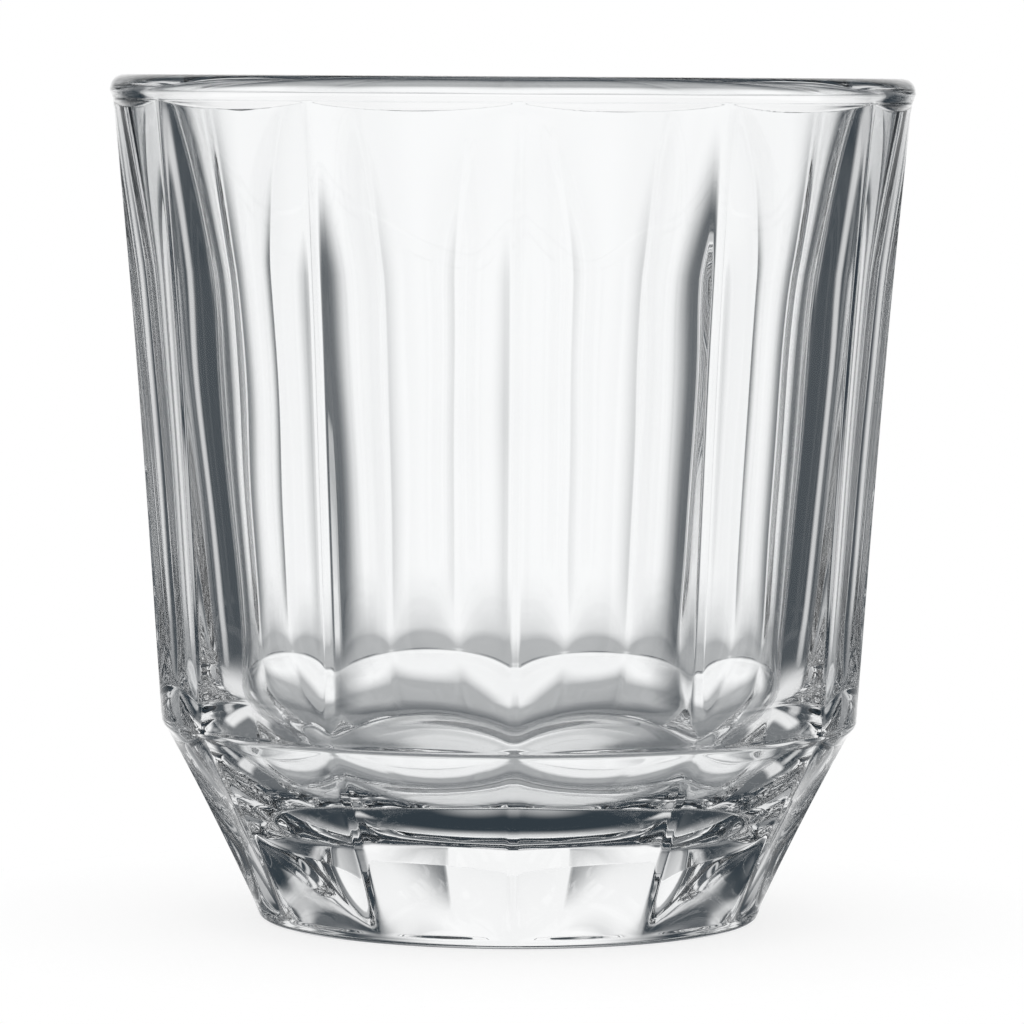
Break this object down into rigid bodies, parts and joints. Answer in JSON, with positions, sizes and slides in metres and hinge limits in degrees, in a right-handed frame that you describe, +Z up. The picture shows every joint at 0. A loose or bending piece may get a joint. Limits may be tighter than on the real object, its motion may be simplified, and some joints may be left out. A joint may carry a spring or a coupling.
{
  "type": "cortado glass",
  "caption": "Small clear pressed-glass tumbler with shallow flutes down its tapered wall and foot, a rounded lip, a shoulder ring and a thick solid base.",
  "frame": {"origin": "centre of the resting ring under the foot, on the surface that the glass stands on", "axes": "+Z up along the axis of the glass, from the foot to the lip; a ridge between two flutes lies at -Y, at +X and every 30 degrees from them"},
  "size_m": [0.07, 0.07, 0.0735],
  "materials": {
    "clear_glass": "smooth, fire-polished, clear and colourless"
  },
  "bodies": {
    "root": {"tumbler": "clear_glass"}
  },
  "joints": []
}
